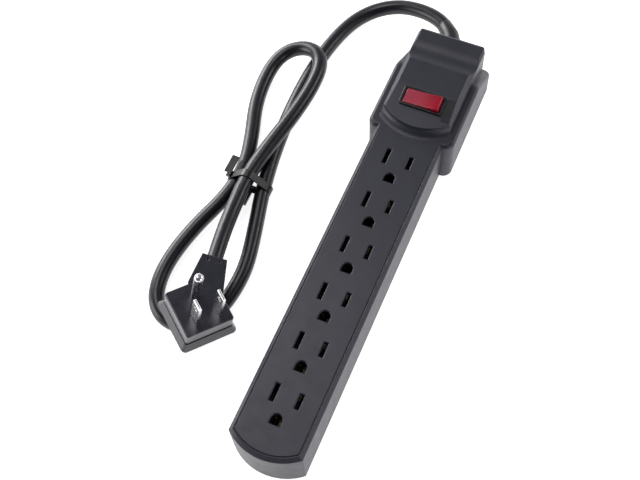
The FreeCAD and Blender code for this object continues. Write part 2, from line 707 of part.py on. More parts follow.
def surge_leads():
    return Part.makeCompound([board_lead(-12.0, -10.4, -7.9, 10.2), board_lead(4.0, 8.6, 8.0, 9.8)])


def surge_board():
    """The circuit board, with a hole for each of its screws."""
    top = BOARD_Z + BOARD_THICKNESS
    board = box(BOARD_LEFT_X, BOARD_RIGHT_X, BOARD_NEAR_Y, BOARD_FAR_Y, BOARD_Z, top)
    return board.cut([post(x, y, 0, 12, 1.1) for x, y in BOARD_SCREWS])


def board_screws():
    seat = BOARD_Z + BOARD_THICKNESS
    return Part.makeCompound([screw(x, y, seat, -1, 0.88, 1.9, 4.2) for x, y in BOARD_SCREWS])


def varistors():
    """Three coated discs that stand across the board on short legs."""
    top = BOARD_Z + BOARD_THICKNESS
    discs = []
    for y in (BOARD_NEAR_Y + 3.6, BOARD_NEAR_Y + 9.0, BOARD_NEAR_Y + 14.4):
        disc = rod_y(-10.6, top + 5.8, y - 1.8, y + 1.8, 4.9)
        disc = round_edges(disc, 1.2, lambda e: e.Length > 20)
        legs = [post(-10.6 + dx, y, top, top + 2.0, 0.4) for dx in (-2.5, 2.5)]
        discs.append(join([disc] + legs))
    return Part.makeCompound(discs)


def thermal_fuse():
    """A small metal can on two bent leads."""
    top = BOARD_Z + BOARD_THICKNESS
    near = BOARD_NEAR_Y + 2.6
    far = BOARD_NEAR_Y + 13.4
    can = rod_y(3.8, top + 2.0, near + 0.9, far - 0.9, 1.7)
    legs = [post(3.8, y, top, top + 2.3, 0.35) for y in (near + 0.2, far - 0.2)]
    return join([can, rod_y(3.8, top + 2.0, near, far, 0.35)] + legs)


# ---------------------------------------------------------------- switch


def placed_in_switch(shape):
    shape.Placement = SWITCH_PLACE.multiply(shape.Placement)
    return shape


def tilt_about(shape, pivot_z, degrees):
    """Turn a shape about the switch's cross axis at the height pivot_z."""
    shape.rotate(Vector(0, 0, pivot_z), Vector(0, 1, 0), degrees)
    return shape


def terminal_shapes():
    """Common tab with the cradle that the lever rocks in, load contact and lamp tab."""
    cradle = rod_y(0, LEVER_PIVOT_Z, -3.0, 3.0, LEVER_BEAD_RADIUS + CRADLE_CLEARANCE)
    common = centred_box(0.8, 4.8, -22, LEVER_PIVOT_Z - 0.3, (0, 0)).cut(cradle)
    load = centred_box(0.8, 4.8, -22, -10.5, (8, 0)).fuse(box(4.6, 8.4, -2.4, 2.4, -11.3, -10.5))
    lamp = centred_box(0.8, 4.8, -22, -12.6, (-8, 0))
    return [common, load.removeSplitter(), lamp]


def switch_housing():
    """The switch's case: a thin rounded bezel over a deep open box, with holes for the rocker's pins."""
    bezel = centred_box(BEZEL_SIZE[0], BEZEL_SIZE[1], 0, BEZEL_HEIGHT)
    bezel = round_edges(bezel, 1.2, upright)
    bezel = round_edges(bezel, 0.4, lambda e: middle(e).z > BEZEL_HEIGHT - 0.01)
    body = centred_box(SWITCH_BODY[0], SWITCH_BODY[1], -SWITCH_DEPTH, 0.2)
    well = centred_box(SWITCH_WELL[0], SWITCH_WELL[1], 1 - SWITCH_DEPTH, 5)
    pin_holes = rod_y(0, ROCKER_PIVOT_Z, -5.0, 5.0, ROCKER_PIN_RADIUS + PIN_CLEARANCE)
    tab_slots = [centred_box(0.9, 4.9, -30, 0, (x, 0)) for x in (-8, 0, 8)]
    housing = join([bezel, body]).cut([well, pin_holes] + tab_slots)
    return placed_in_switch(housing)


def switch_rocker():
    """The lens: a cap with a shallow dished top, round ends about its pivot, and two pivot pins."""
    end_x = math.sqrt(ROCKER_RADIUS**2 - ROCKER_TOP**2)
    skirt_x = math.sqrt(ROCKER_RADIUS**2 - ROCKER_SKIRT**2)
    y = -ROCKER_HALF_WIDTH
    top_left = Vector(-end_x, y, ROCKER_TOP)
    top_right = Vector(end_x, y, ROCKER_TOP)
    low_left = Vector(-skirt_x, y, ROCKER_SKIRT)
    low_right = Vector(skirt_x, y, ROCKER_SKIRT)
    dish = Part.Arc(top_left, Vector(0, y, ROCKER_TOP - ROCKER_DIP), top_right).toShape()
    right = Part.Arc(top_right, Vector(ROCKER_RADIUS, y, 0), low_right).toShape()
    under = Part.LineSegment(low_right, low_left).toShape()
    left = Part.Arc(low_left, Vector(-ROCKER_RADIUS, y, 0), top_left).toShape()
    cap = Part.Face(Part.Wire([dish, right, under, left])).extrude(Vector(0, 2 * ROCKER_HALF_WIDTH, 0))
    cap = round_edges(cap, 0.5, lambda e: middle(e).z > ROCKER_TOP - ROCKER_DIP - 0.1)
    pocket = box(-8, 8, -3.4, 3.4, ROCKER_SKIRT - 1, 0.8)
    stem = post(0, 0, -4.6, 1.0, 1.5).cut(post(0, 0, -6, 0, 1.05))
    pins = [rod_y(0, 0, 3.0, 4.95, ROCKER_PIN_RADIUS), rod_y(0, 0, -4.95, -3.0, ROCKER_PIN_RADIUS)]
    rocker = cap.cut(pocket).fuse([stem] + pins).removeSplitter()
    rocker.translate(Vector(0, 0, ROCKER_PIVOT_Z))
    return placed_in_switch(tilt_about(rocker, ROCKER_PIVOT_Z, -ROCKER_TILT))


def switch_plunger():
    """The sprung pin in the rocker's stem that tips the contact lever."""
    pin = post(0, 0, -8.6, -2.0, 1.0)
    pin = round_edges(pin, 0.8, lambda e: middle(e).z < -8.5)
    pin.translate(Vector(0, 0, ROCKER_PIVOT_Z))
    return placed_in_switch(tilt_about(pin, ROCKER_PIVOT_Z, -ROCKER_TILT))


def contact_lever():
    """A shallow V of strip with a round bead under its middle, which rocks in the common tab's cradle."""
    rise = LEVER_HALF_LENGTH * math.tan(math.radians(LEVER_V))
    outline = [(-LEVER_HALF_LENGTH, rise), (0, 0), (LEVER_HALF_LENGTH, rise)]
    under = [(x, z - LEVER_THICKNESS) for x, z in reversed(outline)]
    lever = prism_y(outline + under, -1.9, 1.9)
    lever.translate(Vector(0, 0, LEVER_THICKNESS / 2))
    bead = rod_y(0, 0, -1.9, 1.9, LEVER_BEAD_RADIUS).common(centred_box(2, 4, -1, 0))
    lever = lever.fuse(bead).removeSplitter()
    lever.translate(Vector(0, 0, LEVER_PIVOT_Z))
    return placed_in_switch(tilt_about(lever, LEVER_PIVOT_Z, LEVER_TILT))


def switch_terminals():
    tabs = []
    for tab in terminal_shapes():
        tabs.append(placed_in_switch(tab))
    return Part.makeCompound(tabs)


def indicator_lamp():
    """A small neon lamp on two stiff leads, under the lens."""
    bulb = Part.makeCylinder(1.1, 4.6, Vector(-7.0, 0, -4.4), Vector(1, 0, 0))
    bulb = round_edges(bulb, 0.6, lambda e: middle(e).x > -3)
    leads = [post(-6.8, y, -13.9, -4.4, 0.25) for y in (-0.6, 0.6)]
    return placed_in_switch(join([bulb] + leads))


# ---------------------------------------------------------------- cord and plug


def strain_relief():
    """Moulded cord grip: a flange inside the wall, a neck, a collar, and a taper that bends with the cord."""
    wall_in = END_Y - WALL
    outline = [
        (0, wall_in - 3.0),
        (7.0, wall_in - 3.0),
        (7.0, wall_in - 0.05),
        (GLAND_NECK_RADIUS, wall_in - 0.05),
        (GLAND_NECK_RADIUS, END_Y + 0.05),
        (6.3, END_Y + 0.05),
        (6.3, END_Y + 1.4),
        (0, END_Y + 1.4),
    ]
    face = Part.Face(Part.makePolygon([Vector(x, y, EXIT_Z) for x, y in outline + outline[:1]]))
    grip = face.revolve(Vector(0, 0, EXIT_Z), Vector(0, 1, 0), 360)
    bend = smooth_route([Vector(*point) for point in CORD_ROUTE[:3]])[0][1]
    sections = []
    for place, radius in ((bend.FirstParameter, GLAND_NECK_RADIUS), (bend.LastParameter, TAPER_END_RADIUS)):
        sections.append(Part.Wire(Part.makeCircle(radius, bend.valueAt(place), bend.tangentAt(place))))
    taper = Part.Wire([bend]).makePipeShell(sections, True, False, 1)
    return grip.fuse(taper).removeSplitter().cut(tube(CORD_ROUTE[:4], CORD_RADIUS + PIN_CLEARANCE))


def cord_clamp():
    """The bar that presses the cord onto its saddle."""
    bar = centred_box(21.6, 5, EXIT_Z + CORD_RADIUS + 0.05, EXIT_Z + CORD_RADIUS + 2.6, (0, CLAMP_Y))
    bar = round_edges(bar, 1.5, upright)
    return bar.cut([post(x, CLAMP_Y, 0, 40, 1.3) for x in (-8, 8)])


def clamp_screws():
    seat = EXIT_Z + CORD_RADIUS + 2.6
    return Part.makeCompound([screw(x, CLAMP_Y, seat, -1, 1.08, 2.2, 10.0) for x in (-8, 8)])


def plug_placement():
    azimuth = math.radians(PLUG_TILT_AZIMUTH)
    lean = Rotation(Vector(-math.sin(azimuth), math.cos(azimuth), 0), PLUG_TILT)
    return Placement(PLUG_ORIGIN, lean.multiply(Rotation(Vector(0, 0, 1), PLUG_YAW)))


def cord_end():
    """Where the cord meets the plug's neck, and a point further along the neck's own axis."""
    tip = PLUG_NECK_TIP + Vector(0, 0, PLUG_CORD_Z)
    place = plug_placement()
    return place.multVec(tip), place.multVec(tip + PLUG_NECK_DIRECTION * NECK_RUN)


def cord():
    """The cord as a round tube, with its volume and its bends printed to check them."""
    end, approach = cord_end()
    points = CORD_ROUTE + [tuple(approach), tuple(end)]
    edges, radii = smooth_route([Vector(*point) for point in points])
    length = sum(edge.Length for edge in edges)
    shape = tube(points, CORD_RADIUS)
    print("cord length", round(length, 1), "volume ratio", shape.Volume / (math.pi * CORD_RADIUS**2 * length))
    print("cord radii", [round(radius, 1) for radius in radii])
    return shape


def blade(side):
    """A flat blade with a bevelled tip and a round hole."""
    thickness, width, length = BLADE_SIZE
    shape = centred_box(thickness, width, -PIN_ROOT, length, (side * BLADE_SPACING / 2, 0))
    shape = shape.makeChamfer(0.45, [e for e in shape.Edges if middle(e).z > length - 0.01])
    hole = Part.makeCylinder(BLADE_HOLE_RADIUS, 40, Vector(-20, 0, length - 4.0), Vector(1, 0, 0))
    return shape.cut(hole)


def ground_pin():
    """A round pin with a domed tip, on a thinner root moulded into the plug."""
    pin = post(0, GROUND_DROP, GROUND_PIN_SHOULDER_Z, GROUND_PIN_LENGTH, GROUND_PIN_RADIUS)
    pin = round_edges(pin, 1.9, lambda e: middle(e).z > GROUND_PIN_LENGTH - 0.01)
    return pin.fuse(post(0, GROUND_DROP, -PIN_ROOT, GROUND_PIN_SHOULDER_Z, GROUND_ROOT_RADIUS))


def carrier_block():
    return box(-9.5, 9.5, -4.2, 15.8, -9.5, -1.6)


def pin_carrier():
    """The hard inner block that holds the blades and the pin."""
    return carrier_block().cut([blade(-1), blade(1), ground_pin()])


def neck():
    """The tapering neck that leaves the body's corner, flush with the pin face."""
    across = Vector(-PLUG_NECK_DIRECTION.y, PLUG_NECK_DIRECTION.x, 0)
    corners = []
    for centre, width, order in zip((PLUG_NECK_BASE, PLUG_NECK_TIP), PLUG_NECK_WIDTHS, (1, -1)):
        corners += [centre + across * (order * width / 2), centre - across * (order * width / 2)]
    shape = prism(corners, Vector(0, 0, -PLUG_NECK_DEPTH))
    dimples = []
    for side in (-1, 1):
        at = PLUG_NECK_TIP - PLUG_NECK_DIRECTION * 2.6 + across * (side * 3.0)
        dimples.append(post(at.x, at.y, -0.8, 1, 0.7))
    shape = round_edges(shape, 1.4, lambda e: abs(middle(e).z + PLUG_NECK_DEPTH) < 0.01)
    return shape.cut(dimples)


def plug_outline(out, z):
    """The square body's outline at a height, grown by out all round, with rounded corners."""
    x0, y0 = PLUG_LOW
    x1, y1 = PLUG_HIGH
    block = box(x0 - out, x1 + out, y0 - out, y1 + out, z - 1, z + 1)
    return round_edges(block, 1.4 + out / 2, upright).slice(Vector(0, 0, 1), z)[0]


def plug_body():
    """Square moulded body, its lower tier flaring out below a groove, and its neck."""
    x0, y0 = PLUG_LOW
    x1, y1 = PLUG_HIGH
    groove_low = PLUG_GROOVE_Z - PLUG_GROOVE_HEIGHT
    inset = 0.7
    upper = round_edges(box(x0, x1, y0, y1, PLUG_GROOVE_Z, 0), 1.4, upright)
    upper = round_edges(upper, 0.6, lambda e: middle(e).z > -0.01)
    web = box(x0 + inset, x1 - inset, y0 + inset, y1 - inset, groove_low - 1, PLUG_GROOVE_Z + 1)
    flare = [
        plug_outline(PLUG_FLANGE - PLUG_FLANGE_EDGE, -PLUG_DEPTH),
        plug_outline(PLUG_FLANGE, PLUG_FLANGE_EDGE - PLUG_DEPTH),
        plug_outline(0.2, groove_low),
    ]
    lower = Part.makeLoft(flare, True, True)
    body = join([upper, round_edges(web, 1.0, upright), lower, neck()])
    return body.cut([carrier_block(), blade(-1), blade(1), ground_pin()])


def in_plug(shape):
    shape.Placement = plug_placement().multiply(shape.Placement)
    return shape


def loop_outline(centres, radius, y):
    """The taut outline round circles of one radius, as straight runs and arcs."""
    count = len(centres)
    normals = []
    for i in range(count):
        along = (centres[(i + 1) % count] - centres[i]).normalize()
        normals.append(Vector(along.z, 0, -along.x))
    edges = []
    for i in range(count):
        here = centres[i] + Vector(0, y, 0)
        after = centres[(i + 1) % count] + Vector(0, y, 0)
        before = normals[i - 1]
        middle_normal = (before + normals[i]).normalize()
        ends = [here + normal * radius for normal in (before, middle_normal, normals[i])]
        edges.append(Part.Arc(*ends).toShape())
        edges.append(Part.LineSegment(ends[-1], after + normals[i] * radius).toShape())
    return Part.Wire(edges)


def cord_tie():
    """A flat strap round the three strands, with its tail and the end tucked between them."""
    strands = [Vector(x, 0, z) for x, z in TIE_STRANDS]
    inner = CORD_RADIUS + TIE_GAP
    y0 = TIE_Y - TIE_WIDTH / 2
    band = Part.Face(loop_outline(strands, inner + TIE_THICKNESS, y0)).extrude(Vector(0, TIE_WIDTH, 0))
    hole = Part.Face(loop_outline(strands, inner, y0 - 1)).extrude(Vector(0, TIE_WIDTH + 2, 0))
    band = band.cut(hole)
    tail = box(-88.6, -84.4, TIE_Y, TIE_Y + 11, TIE_TAIL_Z, TIE_TAIL_Z + TIE_THICKNESS)
    link = box(-86.6, -84.4, y0, TIE_Y + TIE_WIDTH / 2, TIE_TAIL_Z - 1, TIE_TAIL_Z + TIE_THICKNESS)
    clearance = Part.Face(loop_outline(strands, inner + 0.1, y0 - 1)).extrude(Vector(0, TIE_WIDTH + 2, 0))
    link = link.cut(clearance)
    knot = round_edges(box(-75.2, -71.6, TIE_Y - 11, TIE_Y, 0.1, 2.6), 0.5, lambda e: e.Length > 3)
    return join([band, tail, link, knot])


NODES = {
    "top_cover": top_cover,
    "bottom_cover": bottom_cover,
    "case_screws": case_screws,
    "hot_contact_bar": lambda: contact_bar(BLADE_SPACING / 2, LIVE_BAR_Z, BLADE_JAW_GAP, 0),
    "neutral_contact_bar": lambda: contact_bar(-BLADE_SPACING / 2, LIVE_BAR_Z, BLADE_JAW_GAP, 0),
    "ground_contact_bar": ground_bar,
    "line_wire": line_wire,
    "load_wire": load_wire,
    "neutral_wire": neutral_wire,
    "ground_wire": ground_wire,
    "lamp_wire": lamp_wire,
    "surge_leads": surge_leads,
    "surge_board": surge_board,
    "board_screws": board_screws,
    "varistors": varistors,
    "thermal_fuse": thermal_fuse,
    "switch_housing": switch_housing,
    "switch_rocker": switch_rocker,
    "switch_plunger": switch_plunger,
    "contact_lever": contact_lever,
    "switch_terminals": switch_terminals,
    "indicator_lamp": indicator_lamp,
    "strain_relief": strain_relief,
    "cord_clamp": cord_clamp,
    "clamp_screws": clamp_screws,
    "cord": cord,
    "cord_tie": cord_tie,
    "plug_body": lambda: in_plug(plug_body()),
    "plug_pin_carrier": lambda: in_plug(pin_carrier()),
    "plug_neutral_blade": lambda: in_plug(blade(-1)),
    "plug_line_blade": lambda: in_plug(blade(1)),
    "plug_ground_pin": lambda: in_plug(ground_pin()),
}

os.makedirs("parts", exist_ok=True)
for node, make in NODES.items():
    shape = make()
    if not shape.isValid():
        print("not valid:", node)
    print(node, "solids", len(shape.Solids), "volume", round(shape.Volume, 1))
    shape.exportStep(f"parts/{node}.step")
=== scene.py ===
import json
import math

import bmesh
import bpy
from mathutils import Matrix, Vector


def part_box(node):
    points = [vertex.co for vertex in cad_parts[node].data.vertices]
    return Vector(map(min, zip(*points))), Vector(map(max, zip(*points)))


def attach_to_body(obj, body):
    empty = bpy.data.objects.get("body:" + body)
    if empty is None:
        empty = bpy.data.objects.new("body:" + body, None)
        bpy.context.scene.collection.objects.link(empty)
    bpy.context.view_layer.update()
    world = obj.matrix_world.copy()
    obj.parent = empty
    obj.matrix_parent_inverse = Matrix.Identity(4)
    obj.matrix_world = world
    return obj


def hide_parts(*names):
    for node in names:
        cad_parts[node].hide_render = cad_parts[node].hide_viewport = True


# Six-outlet power strip with a lit rocker switch and a short tied cord. Metres, in the row frame:
# +X across the strip, +Y along it towards the cord, +Z up from the surface that it stands on.

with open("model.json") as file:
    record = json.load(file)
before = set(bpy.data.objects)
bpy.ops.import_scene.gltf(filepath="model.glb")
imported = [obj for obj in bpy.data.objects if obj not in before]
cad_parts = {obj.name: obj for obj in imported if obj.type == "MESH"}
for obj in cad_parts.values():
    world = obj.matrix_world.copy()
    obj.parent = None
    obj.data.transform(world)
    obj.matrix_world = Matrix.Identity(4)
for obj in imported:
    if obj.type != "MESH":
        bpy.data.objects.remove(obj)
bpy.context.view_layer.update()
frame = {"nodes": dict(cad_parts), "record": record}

# Camera at the photograph's viewing angle: its place, its turn in degrees, its focal length in mm
CAMERA_AT = (0.09366, -0.22872, 0.48332)
CAMERA_TURN = (27.878, 2.245, 23.498)
CAMERA_LENS = 57.7

# Cord: its size, the heights of strands that lie on the floor and in the tie, and its route's control
# points, from inside the head to the plug
CORD_DIAMETER = 0.0084
CORD_RADIUS = CORD_DIAMETER / 2
FLOOR_Z = CORD_RADIUS
TIED_Z = 0.0051
CORD_ROUTE = [
    (0.0, 0.1135, 0.015),
    (0.0, 0.135, 0.015),
    (-0.012, 0.149, 0.0152),
    (-0.028, 0.1553, 0.0122),
    (-0.0445, 0.1562, 0.008),
    (-0.0585, 0.1482, 0.0052),
    (-0.0676, 0.133, FLOOR_Z),
    (-0.073, 0.106, FLOOR_Z),
    (-0.0736, 0.074, FLOOR_Z),
    (-0.071, 0.042, FLOOR_Z),
    (-0.066, 0.014, TIED_Z),
    (-0.059, -0.012, FLOOR_Z),
    (-0.0542, -0.032, FLOOR_Z),
    (-0.0541, -0.047, FLOOR_Z),
    (-0.0562, -0.06, FLOOR_Z),
    (-0.0618, -0.0706, FLOOR_Z),
    (-0.0722, -0.0766, FLOOR_Z),
    (-0.0838, -0.0744, FLOOR_Z),
    (-0.0918, -0.0642, FLOOR_Z),
    (-0.0942, -0.046, FLOOR_Z),
    (-0.0902, -0.022, FLOOR_Z),
    (-0.0822, 0.001, TIED_Z),
    (-0.0806, 0.022, TIED_Z),
    (-0.0862, 0.042, FLOOR_Z),
    (-0.0934, 0.062, FLOOR_Z),
    (-0.0961, 0.079, 0.0043),
    (-0.0957, 0.0926, 0.0053),
    (-0.0913, 0.1017, 0.0074),
    (-0.0824, 0.106, 0.0102),
    (-0.0728, 0.1038, 0.0133),
    (-0.0666, 0.0958, 0.0136),
    (-0.0654, 0.079, 0.0134),
    (-0.0674, 0.058, 0.0134),
    (-0.0714, 0.037, 0.013),
    (-0.0746, 0.015, 0.012),
    (-0.073, -0.008, 0.0124),
    (-0.0696, -0.0281, 0.0161),
    (-0.0668, -0.0418, 0.0169),
]

# Cord grip: how far along the cord it starts, and the distance from there and the radius of each of its
# rings, from its flange to its tip
GRIP_START = 0.0091
GRIP_RINGS = [
    (0.0, 0.007),
    (0.0029, 0.007),
    (0.003, 0.0054),
    (0.0053, 0.0054),
    (0.0054, 0.0063),
    (0.0066, 0.0063),
    (0.0069, 0.0058),
    (0.013, 0.0054),
    (0.02, 0.0049),
    (0.028, 0.0044),
]
GRIP_SIDES = 40
GRIP_EDGE = 0.00012

# Thin dark plate beside the switch, and two points of the sloping panel that it lies on, as (y, z)
PLATE_AT = (0.0147, 0.0786)
PLATE_SIZE = (0.0046, 0.014)
PLATE_THICKNESS = 0.0003
PLATE_CORNER = 0.0003
PLATE_EDGE = 0.0001
PANEL_LOW = (0.0636, 0.0328)
PANEL_HIGH = (0.0872, 0.0346)

# Finishes: the part of a noise pattern that is used, the periods and depths of moulded relief, and the lens
PATTERN_LOW = 0.3
PATTERN_HIGH = 0.7
EDGE_SAMPLES = 8
WAVE_PERIOD_AT_SCALE_1 = math.tau / 20
WALL_LINE_PERIOD = 0.0022
WALL_LINE_DEPTH = 0.00001
RING_SPACING = 0.0027
RING_DEPTH = 0.00008
LENS_HALF = 0.0085
LENS_PRISM_PERIOD = 0.0008
LENS_EDGE = 0.0003

# Colours, as linear red, green and blue
CASE_COLOUR = (0.016, 0.016, 0.028)
PLUG_COLOUR = (0.007, 0.007, 0.017)
LENS_DEEP = (0.3, 0.0, 0.012)
LENS_BRIGHT = (0.52, 0.004, 0.03)
# Pale pink for the lens's left end: a painted glare of the lights there
LENS_PAINTED_GLARE = (0.5, 0.08, 0.13)
LENS_PRISM = (0.16, 0.0, 0.008)

# Studio: the table's half side, its gap below the object and its glow, the room's colour, and for each
# softbox its name, place, side and radiance
FLOOR_HALF = 3.0
FLOOR_GAP = 0.0002
TABLE_GLOW = 0.85
ROOM_COLOUR = (0.98, 0.98, 1.0, 1)
SOFTBOXES = [
    ("top_light", (-0.4, 0.25, 1.1), 0.45, 5.0),
    ("left_light", (-1.0, 0.5, 0.4), 0.6, 9.0),
    ("back_light", (0.75, 0.7, 0.65), 0.35, 5.0),
    ("right_light", (0.9, -0.3, 0.35), 0.5, 3.0),
    ("front_light", (-0.9, -0.45, 0.25), 0.5, 5.0),
]


# ---------------------------------------------------------------- shader nodes


def new_material(name):
    """A new material, its node tree, its main shader and the coordinates of the surface that it is on."""
    material = bpy.data.materials.new(name)
    material.use_nodes = True
    tree = material.node_tree
    place = tree.nodes.new("ShaderNodeTexCoord").outputs["Object"]
    return material, tree, tree.nodes["Principled BSDF"], place


def fill(tree, node, inputs):
    """Fill a node's inputs by name, with values or with links to sockets."""
    for name, value in inputs.items():
        if isinstance(value, bpy.types.NodeSocket):
            tree.links.new(value, node.inputs[name])
        else:
            node.inputs[name].default_value = value


def add_node(tree, kind, settings=None, **inputs):
    """A shader node with its settings made and its inputs filled; an underscore stands for a space."""
    node = tree.nodes.new(kind)
    for name, value in (settings or {}).items():
        setattr(node, name, value)
    fill(tree, node, {name.replace("_", " "): value for name, value in inputs.items()})
    return node


def noise(tree, place, size, detail=3.0, roughness=0.55):
    """A noise pattern whose blotches are about size metres across."""
    settings = {"Scale": 1 / size, "Detail": detail, "Roughness": roughness}
    return add_node(tree, "ShaderNodeTexNoise", Vector=place, **settings).outputs["Fac"]


def wave(tree, place, period, distortion=0.0, **settings):
    """A wave pattern with a period in metres."""
    scale = WAVE_PERIOD_AT_SCALE_1 / period
    node = add_node(tree, "ShaderNodeTexWave", settings, Vector=place, Scale=scale, Distortion=distortion)
    return node.outputs["Fac"]


def in_range(tree, value, low, high, start=PATTERN_LOW, end=PATTERN_HIGH):
    """A pattern's part from start to end spread over low to high."""
    limits = {"From_Min": start, "From_Max": end, "To_Min": low, "To_Max": high}
    return add_node(tree, "ShaderNodeMapRange", {"clamp": True}, Value=value, **limits).outputs["Result"]


def product(tree, first, second):
    """Two patterns multiplied."""
    node = add_node(tree, "ShaderNodeMath", {"operation": "MULTIPLY"})
    tree.links.new(first, node.inputs[0])
    tree.links.new(second, node.inputs[1])
    return node.outputs["Value"]


def as_colour(colour):
    """A colour that a socket takes: a link as it is, or red, green and blue made opaque."""
    return colour if isinstance(colour, bpy.types.NodeSocket) else (*colour, 1)


def mixed(tree, share, first, second):
    """Two colours mixed by a pattern."""
    node = add_node(tree, "ShaderNodeMixRGB", Fac=share, Color1=as_colour(first), Color2=as_colour(second))
    return node.outputs["Color"]


def bump(tree, height, distance, normal=None):
    """The surface's normal with a pattern for relief, distance metres deep."""
    node = add_node(tree, "ShaderNodeBump", Height=height, Distance=distance, Strength=1.0)
    if normal is not None:
        tree.links.new(normal, node.inputs["Normal"])
    return node.outputs["Normal"]


def soft_edges(tree, radius):
    """The surface's normal with its edges rounded, and how near to an edge each point is."""
    rounded = add_node(tree, "ShaderNodeBevel", {"samples": EDGE_SAMPLES}, Radius=radius).outputs["Normal"]
    normal = tree.nodes.new("ShaderNodeNewGeometry").outputs["Normal"]
    facing = add_node(tree, "ShaderNodeVectorMath", {"operation": "DOT_PRODUCT"})
    tree.links.new(rounded, facing.inputs[0])
    tree.links.new(normal, facing.inputs[1])
    return rounded, in_range(tree, facing.outputs["Value"], low=1.0, high=0.0, start=0.86, end=0.995)


def shade(colour, factor):
    """A colour made darker or lighter."""
    return tuple(min(channel * factor, 1.0) for channel in colour)


def mottled(tree, pattern, colour, spread):
    """A colour that a pattern makes a little darker and lighter."""
    darker = shade(colour, 1 - spread)
    lighter = shade(colour, 1 + spread)
    return mixed(tree, in_range(tree, pattern, 0.0, 1.0), darker, lighter)


def uneven(tree, pattern, middle, spread):
    """A roughness that a pattern varies."""
    return in_range(tree, pattern, middle - spread, middle + spread)


# ---------------------------------------------------------------- materials


def wall_lines(tree, place, normal):
    """Fine level draw lines: they show on walls, and not on faces that lie level."""
    lines = wave(tree, place, WALL_LINE_PERIOD, distortion=0.4, bands_direction="Z")
    return bump(tree, lines, WALL_LINE_DEPTH, normal)


def ring_lines(tree, place, centre, normal):
    """Faint moulded rings round a point of the plug's face."""
    moved = add_node(tree, "ShaderNodeMapping", Vector=place, Location=[-number for number in centre])
    rings = wave(tree, moved.outputs["Vector"], RING_SPACING, wave_type="RINGS", rings_direction="SPHERICAL")
    return bump(tree, rings, RING_DEPTH, normal)


def moulded(
    name,
    colour,
    roughness,
    grain=0.0005,
    depth=0.00001,
    edge=0.0003,
    wear=1.5,
    lined=False,
    rings=None,
    gloss=0.5,
):
    """Moulded plastic or rubber: faint mottling, a fine grain, and soft edges that have worn lighter."""
    material, tree, shader, place = new_material(name)
    body = mottled(tree, noise(tree, place, size=0.02, detail=4), colour, spread=0.15)
    normal, near_edge = soft_edges(tree, edge)
    scuffs = noise(tree, place, size=0.0015, detail=5, roughness=0.7)
    worn = product(tree, near_edge, in_range(tree, scuffs, low=0.2, high=1.0, start=0.35, end=0.65))
    polish = noise(tree, place, size=0.006, detail=5, roughness=0.6)
    if lined:
        normal = wall_lines(tree, place, normal)
    if rings:
        normal = ring_lines(tree, place, rings, normal)
    grains = noise(tree, place, grain, detail=2, roughness=0.5)
    looks = {
        "Base Color": mixed(tree, worn, body, shade(colour, wear)),
        "Roughness": uneven(tree, polish, roughness, spread=0.04),
        "Normal": bump(tree, grains, depth, normal),
        "Specular IOR Level": gloss,
    }
    fill(tree, shader, looks)
    return material


def jacket(name, colour, roughness):
    """Extruded cord jacket: smooth, with very slight waves and dust-fine unevenness of its gloss."""
    material, tree, shader, place = new_material(name)
    polish = noise(tree, place, size=0.003, roughness=0.5)
    waves = bump(tree, noise(tree, place, size=0.012, detail=2), 0.0001)
    looks = {
        "Base Color": mottled(tree, noise(tree, place, size=0.015, detail=4), colour, spread=0.2),
        "Roughness": uneven(tree, polish, roughness, spread=0.03),
        "Normal": bump(tree, noise(tree, place, size=0.0008, detail=2), 0.000003, waves),
    }
    fill(tree, shader, looks)
    return material


def metal(name, colour, roughness, edge=0.0002, scratch=0.00015):
    """Plated or rolled metal with fine drawn lines and a little staining."""
    material, tree, shader, place = new_material(name)
    stretched = add_node(tree, "ShaderNodeMapping", Vector=place, Scale=(1.0, 1.0, 0.06))
    lines = noise(tree, stretched.outputs["Vector"], scratch, detail=4)
    stain = in_range(tree, noise(tree, place, size=0.004, detail=4), 0.0, 1.0)
    rounded, _ = soft_edges(tree, edge)
    looks = {
        "Base Color": mixed(tree, stain, shade(colour, 0.82), colour),
        "Roughness": in_range(tree, lines, roughness - 0.06, roughness + 0.1),
        "Normal": bump(tree, lines, 0.000003, rounded),
        "Metallic": 1.0,
    }
    fill(tree, shader, looks)
    return material


def lens_colour(tree, place):
    """Uneven red, made paler towards the lens's left end by a painted glare, with darker lines where its
    prisms are.
    """
    glow = in_range(tree, noise(tree, place, size=0.004, detail=4), 0.0, 1.0)
    red = mixed(tree, glow, LENS_DEEP, LENS_BRIGHT)
    across = add_node(tree, "ShaderNodeSeparateXYZ", Vector=place).outputs["X"]
    # Painted glare: the lens turns paler towards its left end
    pale = in_range(tree, across, low=0.8, high=0.0, start=-LENS_HALF, end=LENS_HALF)
    with_painted_glare = mixed(tree, pale, red, LENS_PAINTED_GLARE)
    prisms = wave(tree, place, LENS_PRISM_PERIOD, distortion=1.5, bands_direction="X")
    return mixed(tree, in_range(tree, prisms, 0.0, 0.3), with_painted_glare, LENS_PRISM)


def lens_red(name):
    """Translucent red polycarbonate with prisms moulded inside."""
    material, tree, shader, place = new_material(name)
    rounded, _ = soft_edges(tree, LENS_EDGE)
    looks = {
        "Base Color": lens_colour(tree, place),
        "Roughness": in_range(tree, noise(tree, place, size=0.0008, detail=5), 0.1, 0.2),
        "Normal": bump(tree, noise(tree, place, size=0.0007, detail=2), 0.00001, rounded),
        "Specular IOR Level": 0.35,
        "Transmission Weight": 0.25,
        "Subsurface Weight": 0.2,
        "Subsurface Radius": (0.004, 0.0005, 0.0005),
    }
    fill(tree, shader, looks)
    return material


def lamp_glass(name):
    """Clear glass with a faint warm tint and slight waves of its gloss."""
    material, tree, shader, place = new_material(name)
    looks = {
        "Base Color": mixed(tree, noise(tree, place, size=0.002), (0.95, 0.72, 0.6), (0.98, 0.85, 0.74)),
        "Roughness": in_range(tree, noise(tree, place, size=0.001, detail=4), 0.03, 0.12),
        "Transmission Weight": 0.9,
    }
    fill(tree, shader, looks)
    return material


